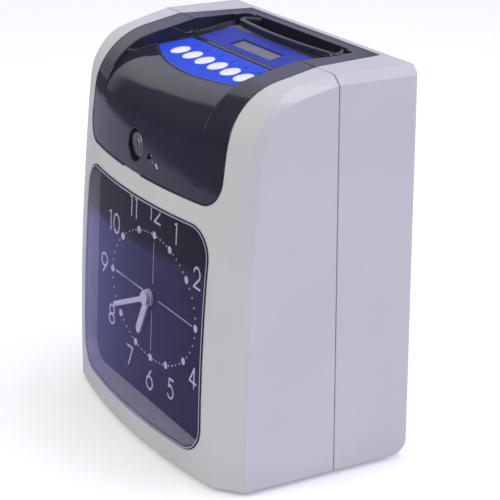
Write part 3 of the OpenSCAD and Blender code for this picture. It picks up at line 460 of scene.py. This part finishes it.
# The black bead in the panel's gap is painted shade: the shadow line between the panel and the case.
edge_bead("panel_gap_shade_bead", "front_panel", PANEL_OUT, panel_gap, 0.4, (0.3, -0.35), rubber)
edge_bead("lens_highlight_bead", "lens", LENS_OUT, lambda p: True, 0.45, (-0.4, -0.2), lens_bead_highlight)
# The black bead round the lens is painted shade: the shadow line round the lens.
edge_bead("lens_gap_shade_bead", "lens", LENS_OUT, lambda p: p.y < LENS_FRONT, 0.45, (0.25, -0.35), rubber)

# %% [markdown]
# The keyed lock sits in a round dish in the dark panel. Its barrel ends in a flat nickel rosette, and the plug
# inside shows a round face with a keyhole slot. The rosette is a lathe-turned ring and stays with the cover. The
# face is a disc with the slot milled through it, and it turns with the plug. A shutter sits just inside the slot,
# and its near-black is painted shade: the dark of a deep keyhole.

# %% Lock face
# Near-black with little reflection: painted shade for the keyhole.
keyhole_shade_black = moulded("keyhole_painted_shade", ("050508", "08080C"), 3, (0.7, 0.8), 0.4, 1, IOR=1.15)
KEYHOLE = (1.15, 5.2)
SHUTTER_AT, SHUTTER_DEEP = -48.2, 0.9
THROUGH = 20
LYING = (math.pi / 2, 0, 0)


def turned(name, radius, front, rear, body, bore=0.0):
    """A nickel piece on the lock's axis, from one depth to another in mm: a ring, or a disc with the keyhole."""
    spot = Vector((LOCK_X, (front + rear) / 2, LOCK_Z)) * MM
    bar = {"vertices": 64, "location": spot, "rotation": LYING}
    bpy.ops.object.select_all(action="DESELECT")
    bpy.ops.mesh.primitive_cylinder_add(radius=radius * MM, depth=(rear - front) * MM, **bar)
    piece = bpy.context.object
    piece.name = name
    bpy.ops.object.transform_apply()
    if bore:
        bpy.ops.mesh.primitive_cylinder_add(radius=bore * MM, depth=THROUGH * MM, **bar)
    else:
        slit = Vector((KEYHOLE[0], THROUGH, KEYHOLE[1])) / 2 * MM
        bpy.ops.mesh.primitive_cube_add(location=spot, scale=slit)
    cut_away(piece, bpy.context.object)
    shape(piece, "BEVEL", width=0.22 * MM, segments=3, limit_method="ANGLE", angle_limit=math.radians(50))
    soften(piece, 30)
    dress(piece, nickel, body)


turned("lock_rosette", 6.85, -48.45, -47.1, "front_cover", bore=4.05)
turned("lock_face", 3.85, -48.75, -47.7, "lock")
# The shutter's near-black is painted shade: the dark of a deep keyhole.
bpy.ops.object.select_all(action="DESELECT")
bpy.ops.mesh.primitive_cube_add(size=1, location=Vector((LOCK_X, SHUTTER_AT, LOCK_Z)) * MM)
shutter = bpy.context.object
shutter.name = "lock_shutter"
shutter.scale = Vector((KEYHOLE[0], SHUTTER_DEEP, KEYHOLE[1])) * MM
bpy.ops.object.transform_apply()
shape(shutter, "BEVEL", width=0.2 * MM, segments=2)
dress(shutter, keyhole_shade_black, "lock")

# %% [markdown]
# Beside the lock the panel carries a black pad-printed pointer. Next to it, three short pale bars are painted
# glints: light caught on the edges of the mark. Each is a thin flat patch laid on the curved panel, and the panel's
# depth under every corner is found by a straight probe from the front.

# %% Lock marks
panel = copies["front_panel"]
PROUD = 0.05


def on_panel(x, z):
    """The point of the panel's front face at x and z, in mm."""
    return panel.ray_cast(Vector((x, -200, z)) * MM, Vector((0, 1, 0)))[1]


def print_patch(name, outlines, finish):
    """Thin patches on the panel, printed marks and painted glints, each from the x and z of its corners in mm."""
    mesh = bmesh.new()
    for corners in outlines:
        lower = [mesh.verts.new(on_panel(x, z) + Vector((0, PROUD * MM, 0))) for x, z in corners]
        upper = [mesh.verts.new(v.co - Vector((0, 2 * PROUD * MM, 0))) for v in lower]
        mesh.faces.new(upper)
        mesh.faces.new(lower[::-1])
        for i in range(len(corners)):
            j = (i + 1) % len(corners)
            mesh.faces.new((upper[j], upper[i], lower[i], lower[j]))
    bmesh.ops.recalc_face_normals(mesh, faces=mesh.faces)
    dress(put_edited(name, mesh), finish, "front_cover")


def bar(x0, z0, x1, z1, wide):
    """The four corners of a bar between two points, with a width in mm."""
    along = Vector((x1 - x0, z1 - z0)).normalized() * wide / 2
    dx, dz = -along.y, along.x
    return [(x0 + dx, z0 + dz), (x1 + dx, z1 + dz), (x1 - dx, z1 - dz), (x0 - dx, z0 - dz)]


black_ink = moulded("pad_ink_black", ("050508", "08080C"), 3, (0.7, 0.8), 0.4, 1, IOR=1.15)
glint_paint_silver = moulded("painted_glint_silver", ("D2D2DA", "E0E0E6"), 3, (0.3, 0.4), 0.4, 1)
glint_paint_grey = moulded("painted_glint_grey", ("6E6E7C", "787886"), 3, (0.4, 0.5), 0.4, 1)
print_patch("lock_pointer", [[(10.2, 162.9), (14.9, 164.1), (11.9, 167.0)]], black_ink)
# The pale bar and the grey dashes are painted glints: light caught on the edges of the mark.
print_patch("lock_glint_bar", [bar(20.4, 162.9, 22.6, 160.7, 1.05)], glint_paint_silver)
dashes = [bar(15.5, 163.7, 18.1, 162.2, 0.7), bar(14.3, 166.2, 14.8, 165.2, 0.7)]
print_patch("lock_glint_dashes", dashes, glint_paint_grey)

# %% [markdown]
# At both ends of the card mouth the round lip turns in and back to the rear wall, so that a card
# slides in off a rounded corner. The sunken deck runs on round the outside of that turn. The deck's
# copy gets a pocket milled at each end, and the lip's end is a wall with a rounded top beside it.

# %% Ends of the card mouth
LIP_RADIUS, LIP_TOP, LIP_WALL = 1.7, 217.0, 5.0
LIP_PATH = [(40.0, 38.85), (44.0, 39.25), (47.6, 39.7), (50.0, 40.2), (51.5, 41.4), (51.8, 43.0), (50.8, 44.8),
            (48.8, 46.7), (46.4, 48.6), (44.2, 50.4)]
POCKET = [(49.8, 38.4), (58.6, 38.4), (58.6, 45.4), (58.2, 46.9), (57.1, 48.0), (55.6, 48.4), (49.8, 48.4)]
POCKET_FLOOR, POCKET_CUT = 212.5, 15.0


def lip_end(name, side):
    """The lip's rounded end on one side of the mouth, 1 for right and -1 for left."""
    curve = bpy.data.curves.new(name, "CURVE")
    curve.dimensions = "2D"
    curve.fill_mode = "NONE"
    curve.extrude = LIP_WALL * MM
    curve.bevel_depth = LIP_RADIUS * MM
    curve.bevel_resolution = 4
    spline = curve.splines.new("NURBS")
    spline.points.add(len(LIP_PATH) - 1)
    for point, (x, y) in zip(spline.points, LIP_PATH):
        point.co = (side * x * MM, y * MM, 0, 1)
    spline.order_u = 3
    spline.use_endpoint_u = True
    spline.resolution_u = 6
    piece = made_mesh(put(name, curve))
    piece.location.z = (LIP_TOP - LIP_WALL) * MM
    bpy.ops.object.transform_apply()
    bpy.ops.object.mode_set(mode="EDIT")
    bpy.ops.mesh.select_all(action="SELECT")
    bpy.ops.mesh.fill_holes(sides=0)
    bpy.ops.mesh.normals_make_consistent(inside=False)
    bpy.ops.object.mode_set(mode="OBJECT")
    soften(piece, 50)
    dress(piece, charcoal_abs, body_of["top_deck"])


def mill_pocket(side):
    """Cuts the pocket round one end of the mouth into the deck's copy."""
    mesh = bmesh.new()
    face = mesh.faces.new([mesh.verts.new(Vector((side * x, y, POCKET_FLOOR)) * MM) for x, y in POCKET])
    for part in bmesh.ops.extrude_face_region(mesh, geom=[face])["geom"]:
        if isinstance(part, bmesh.types.BMVert):
            part.co.z += POCKET_CUT * MM
    bmesh.ops.recalc_face_normals(mesh, faces=mesh.faces)
    deck = copies["top_deck"]
    cut_away(deck, put_edited("pocket_cutter", mesh))
    soften(deck, 24)
    print("deck after the pocket:", len(deck.data.polygons), "faces")


for side, word in ((1, "right"), (-1, "left")):
    mill_pocket(side)
    lip_end("mouth_lip_end_" + word, side)

# %% [markdown]
# The ink ribbon is a woven nylon strip, 12 mm wide, that runs straight across the front of its
# cassette at the print line. It is a flat grid of 1 mm cells given the thickness of the cloth, and it
# stands for the CAD strip. Only the straight run between the two spools is drawn.

# %% Ink ribbon
CLOTH = 0.12
low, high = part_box("ribbon")
run, tall = high.x - low.x, high.z - low.z
bpy.ops.object.select_all(action="DESELECT")
bpy.ops.mesh.primitive_grid_add(x_subdivisions=110, y_subdivisions=12, size=1,
                                location=(low + high) / 2, rotation=LYING)
inked = bpy.context.object
inked.name = "ink_ribbon_cloth"
inked.scale = (run, tall, 1)
bpy.ops.object.transform_apply()
shape(inked, "SOLIDIFY", thickness=CLOTH * MM, offset=0)
dress(inked, ink_nylon, body_of["ribbon"])
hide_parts("ribbon")
print("ribbon:", round(run / MM, 1), "by", round(tall / MM, 1), "mm")

# %% [markdown]
# The numerals are drawn as a sign painter would: each is a few strokes of one width with round ends.
# A stroke is a curve with a round profile that tapers off at both ends. The curves are turned to a
# mesh and pressed flat, so that the print stands a tenth of a millimetre off the dial.

# %% Strokes
def arc(cx, cz, rx, rz, a0, a1, count=14):
    """Points on an ellipse's arc, with angles in degrees from +X towards +Z."""
    steps = [math.radians(a0 + (a1 - a0) * i / count) for i in range(count + 1)]
    return [(cx + rx * math.cos(a), cz + rz * math.sin(a)) for a in steps]


DIGITS = {
    "0": [arc(0.36, 0.5, 0.34, 0.5, 0, 360, 28)],
    "1": [[(0.22, 0), (0.22, 1)], [(0.22, 1), (0.06, 0.93)]],
    "2": [arc(0.33, 0.68, 0.31, 0.32, 170, -35), [(0.584, 0.496), (0.03, 0)], [(0.03, 0), (0.68, 0)]],
    "3": [arc(0.32, 0.74, 0.27, 0.26, 150, -90), arc(0.32, 0.25, 0.32, 0.25, 90, -150)],
    "4": [[(0.48, 1), (0.02, 0.26)], [(0.02, 0.26), (0.7, 0.26)], [(0.48, 1), (0.48, 0)]],
    "5": [[(0.6, 1), (0.2, 1)], [(0.2, 1), (0.12, 0.56)], arc(0.32, 0.32, 0.32, 0.32, 128, -145)],
    "6": [arc(0.36, 0.33, 0.34, 0.33, 0, 360, 28), [(0.06, 0.48), (0.47, 1)]],
    "7": [[(0.04, 1), (0.66, 1)], [(0.66, 1), (0.22, 0)]],
    "8": [arc(0.34, 0.75, 0.27, 0.25, 0, 360, 24), arc(0.34, 0.25, 0.33, 0.25, 0, 360, 24)],
    "9": [arc(0.34, 0.67, 0.34, 0.33, 0, 360, 28), [(0.64, 0.52), (0.23, 0)]],
}
DIGIT_WIDE = {"1": 0.42, "4": 0.72, "7": 0.7}
TAPER = (25, 50, 72, 86)


def add_stroke(curve, points, width):
    """Adds one round-ended stroke of a width, in the plane of X and Z, to a curve."""
    beads = [(Vector((x, 0, z)), 1.0) for x, z in points]
    for end, inner in ((0, 1), (-1, -2)):
        tip, out = beads[end][0], (beads[end][0] - beads[inner][0]).normalized()
        taper = [(tip + out * width / 2 * math.sin(a), math.cos(a)) for a in map(math.radians, TAPER)]
        beads = taper[::-1] + beads if end == 0 else beads + taper
    spline = curve.splines.new("POLY")
    spline.points.add(len(beads) - 1)
    for point, (spot, thick) in zip(spline.points, beads):
        point.co = (*spot, 1)
        point.radius = thick


def flat_print(name, strokes, width, thick):
    """Strokes in the plane of X and Z, in metres, as one flat mesh that stands out towards -Y."""
    curve = bpy.data.curves.new(name, "CURVE")
    curve.dimensions = "3D"
    curve.bevel_depth = width / 2
    curve.bevel_resolution = 2
    curve.use_fill_caps = True
    for points in strokes:
        add_stroke(curve, points, width)
    piece = made_mesh(put(name, curve))
    piece.scale.y = thick / width
    bpy.ops.object.transform_apply(location=False, rotation=False, scale=True)
    return piece


# %% [markdown]
# The dial's print: twelve numerals on a wide oval, a ring of dots with a large one at each hour, and
# two hair lines that cross under the hands.

# %% Dial print
DIAL_AT = Vector((0, -43.41, 79.5)) * MM
DIAL_TILT = math.radians(-3.35)
RING = (52.9, 36.0)
SPOTS = {0: (0, 49.5), 1: (26.6, 44.8), 2: (52.4, 28.2), 3: (64.5, 0)}
TALL, STROKE, DIGIT_GAP = 11.2, 1.35, 0.14
INK, INK_LIFT = 0.1, 0.055
HAIR_WIDE, HAIR_INK, HAIR_FROM, HAIR_SHORT = 0.5, 0.08, 8, 4
HOUR_DOT, MINUTE_DOT = 2.15, 0.55


def on_oval(axes, clock_angle):
    """The point of an oval that lies at an angle from 12 o'clock, clockwise, in degrees."""
    s, c = math.sin(math.radians(clock_angle)), math.cos(math.radians(clock_angle))
    reach = 1 / math.hypot(s / axes[0], c / axes[1])
    return reach * s, reach * c


screen_ink = moulded("screen_ink_white", ("DEDEE8", "E8E8F0"), 5, (0.5, 0.6), 0.4, 2)


def seat_on_dial(piece):
    """Lays a flat print on the dial's face."""
    pick(piece)
    piece.rotation_euler.x = DIAL_TILT
    piece.location = DIAL_AT + Matrix.Rotation(DIAL_TILT, 3, "X") @ Vector((0, -INK_LIFT * MM, 0))
    bpy.ops.object.transform_apply()
    dress(piece, screen_ink, "front_cover")


figures = []
for hour in range(1, 13):
    text = str(hour)
    wide = [DIGIT_WIDE.get(d, 0.7) * TALL for d in text]
    gap = DIGIT_GAP * TALL
    x, z = SPOTS[min(hour % 6, 6 - hour % 6)]
    x, z = (x if hour < 6 else -x), (z if hour < 3 or hour > 9 else -z)
    left = x - (sum(wide) + gap * (len(text) - 1)) / 2
    for digit, room in zip(text, wide):
        for points in DIGITS[digit]:
            figures.append([((left + u * TALL) * MM, (z + (v - 0.5) * TALL) * MM) for u, v in points])
        left += room + gap
seat_on_dial(flat_print("dial_numerals", figures, STROKE * MM, INK * MM))

hairs = []
for angle in (0, 90, 180, 270):
    near = on_oval((HAIR_FROM, HAIR_FROM), angle)
    far = on_oval((RING[0] - HAIR_SHORT, RING[1] - HAIR_SHORT), angle)
    hairs.append([(near[0] * MM, near[1] * MM), (far[0] * MM, far[1] * MM)])
seat_on_dial(flat_print("dial_hair_lines", hairs, HAIR_WIDE * MM, HAIR_INK * MM))


def dot_ring(name, angles, radius):
    """Flat round dots on the ring."""
    bpy.ops.object.select_all(action="DESELECT")
    made = []
    for angle in angles:
        x, z = on_oval(RING, angle)
        bpy.ops.mesh.primitive_cylinder_add(vertices=24, radius=radius * MM, depth=INK * MM,
                                            location=(x * MM, 0, z * MM), rotation=LYING)
        made.append(bpy.context.object)
    for one in made:
        one.select_set(True)
    bpy.ops.object.join()
    bpy.ops.object.transform_apply()
    ring = bpy.context.object
    ring.name = name
    return ring


seat_on_dial(dot_ring("dial_hour_dots", range(0, 360, 30), HOUR_DOT))
seat_on_dial(dot_ring("dial_minute_dots", [a for a in range(0, 360, 6) if a % 30], MINUTE_DOT))

# %% [markdown]
# The machine stands on a wide pale table top. The glossy panel and the lens mirror it, and in the
# photograph they mirror a room that is darker in places. So rays that come off a gloss see rings of
# other tones on the same table.

# %% Table top
bpy.ops.object.select_all(action="DESELECT")
bpy.ops.mesh.primitive_plane_add(size=12)
floor = bpy.context.object
floor.name = "table_top"
paint, tree = start("table_paint_white")
place = add(tree, "TexCoord").outputs["Object"]
mottle = add(tree, "TexNoise", {"Vector": place, "Scale": 1.5})
tone = add(tree, "ValToRGB", {"Fac": mottle.outputs["Fac"]}, [(0.3, "F4F4F4"), (0.7, "F6F6F6")])
along = add(tree, "VectorMath", {"Vector": place}, operation="LENGTH")
share = add(tree, "MapRange", {"Value": along.outputs["Value"], "From Max": 1.25})
# For rays that come off a gloss the table shows rings of other tones: a painted reflection of a darker room.
away = add(tree, "ValToRGB", {"Fac": share.outputs["Result"]},
           [(0.36, "8A88C6"), (0.40, "605E68"), (0.58, "605E68"), (0.63, "A6A6B6"), (0.84, "A6A6B6"),
            (0.9, "303036")])
mirrored = add(tree, "LightPath").outputs["Is Glossy Ray"]
tone_and_painted_reflection = add(tree, "MixRGB", {"Fac": mirrored, "Color1": tone.outputs["Color"], "Color2": away.outputs["Color"]})
direct = add(tree, "LightPath").outputs["Is Camera Ray"]
glow = add(tree, "MapRange", {"Value": direct, "To Min": 0.13, "To Max": 0.2})
shader = add(tree, "BsdfPrincipled", {"Base Color": tone_and_painted_reflection.outputs["Color"], "Roughness": 0.8,
                                      "Emission Color": tone_and_painted_reflection.outputs["Color"],
                                      "Emission Strength": glow.outputs["Result"]})
add(tree, "OutputMaterial", {"Surface": shader.outputs["BSDF"]})
floor.data.materials.append(paint)
print("table:", floor.name)

# %% [markdown]
# The studio is a soft sky: a bright ceiling, dimmer walls that turn blue towards the rear, and a dark
# wavy curtain at the left for the panel to mirror. The camera itself sees plain white.

# %% Studio sky
world = bpy.data.worlds.new("studio")
bpy.context.scene.world = world
world.use_nodes = True
tree = world.node_tree
tree.nodes.clear()
look = add(tree, "TexCoord").outputs["Generated"]
ripple = add(tree, "TexNoise", {"Vector": look, "Scale": 2.6, "Detail": 2.0})
uneven = add(tree, "VectorMath", {0: ripple.outputs["Color"], 1: (0.5, 0.5, 0.5)}, operation="SUBTRACT")
shift = add(tree, "VectorMath", {0: uneven.outputs["Vector"]}, operation="SCALE")
shift.inputs["Scale"].default_value = 0.22
wavy = add(tree, "VectorMath", {0: look, 1: shift.outputs["Vector"]}, operation="ADD").outputs["Vector"]
way = add(tree, "SeparateXYZ", {"Vector": look})
height = add(tree, "MapRange", {"Value": way.outputs["Z"], "From Min": 0.08, "From Max": 0.45,
                                "To Min": 0.3, "To Max": 1.0})
tint = add(tree, "ValToRGB", {"Fac": way.outputs["Y"]}, [(0.0, "F6F5F6"), (0.35, "D6D6F6")])
turn = add(tree, "VectorMath", {0: look, 1: (0.64, -0.77, 0)}, operation="DOT_PRODUCT")
shade = add(tree, "MapRange", {"Value": turn.outputs["Value"], "From Min": 0.1, "From Max": 1.0,
                               "To Min": 1.0, "To Max": 0.45})
left_side = add(tree, "VectorMath", {0: wavy, 1: (0.225, -0.974, 0)}, operation="DOT_PRODUCT")
right_side = add(tree, "VectorMath", {0: wavy, 1: (-0.927, 0.375, 0)}, operation="DOT_PRODUCT")
past_left = add(tree, "MapRange", {"Value": left_side.outputs["Value"], "From Min": -0.03, "From Max": 0.03})
past_right = add(tree, "MapRange", {"Value": right_side.outputs["Value"], "From Min": 0.0, "From Max": 0.1})
under_top = add(tree, "MapRange", {"Value": way.outputs["Z"], "From Min": 0.72, "From Max": 0.62})
sides = add(tree, "Math", {0: past_left.outputs["Result"], 1: past_right.outputs["Result"]}, operation="MULTIPLY")
curtain = add(tree, "Math", {0: sides.outputs["Value"], 1: under_top.outputs["Result"]}, operation="MULTIPLY")
dark = add(tree, "MapRange", {"Value": curtain.outputs["Value"], "To Min": 1.0, "To Max": 0.16})
wall = add(tree, "Math", {0: height.outputs["Result"], 1: shade.outputs["Result"]}, operation="MULTIPLY")
power = add(tree, "Math", {0: wall.outputs["Value"], 1: dark.outputs["Result"]}, operation="MULTIPLY")
sky = add(tree, "Background", {"Color": tint.outputs["Color"], "Strength": power.outputs["Value"]})
paper = add(tree, "Background", {"Color": linear("FFFFFF"), "Strength": 1.0})
backdrop = add(tree, "MixShader", {"Fac": add(tree, "LightPath").outputs["Is Camera Ray"]})
tree.links.new(sky.outputs["Background"], backdrop.inputs[1])
tree.links.new(paper.outputs["Background"], backdrop.inputs[2])
add(tree, "OutputWorld", {"Surface": backdrop.outputs["Shader"]})
print("sky:", len(tree.nodes), "nodes")

# %% [markdown]
# Four square soft lamps stand round the machine and face its middle: a warm one in front, a large cool
# one behind at the right, one above, and a small one for glints.

# %% Lamps
AIM = Vector((0, 0, 0.11))


def soft_lamp(name, place, size, watts, hex_code):
    """A square soft lamp that faces the machine."""
    bpy.ops.object.select_all(action="DESELECT")
    bpy.ops.object.light_add(type="AREA", location=place)
    lamp = bpy.context.object
    lamp.name = name
    lamp.data.size = size
    lamp.data.energy = watts
    lamp.data.color = linear(hex_code)[:3]
    lamp.rotation_euler = (AIM - Vector(place)).to_track_quat("-Z", "Y").to_euler()


soft_lamp("lamp_front", (-0.25, -1.9, 1.15), 0.7, 14, "FFF5E4")
soft_lamp("lamp_right", (1.55, 1.35, 1.2), 1.4, 14.9, "E2E4FF")
soft_lamp("lamp_top", (0.1, 0.35, 1.5), 0.6, 5, "F4F5FF")
soft_lamp("lamp_glint", (1.7, 0.35, 1.25), 0.2, 2, "F4F5FF")
bpy.context.scene.view_settings.view_transform = "Standard"
print("lamps:", len(bpy.data.lights))
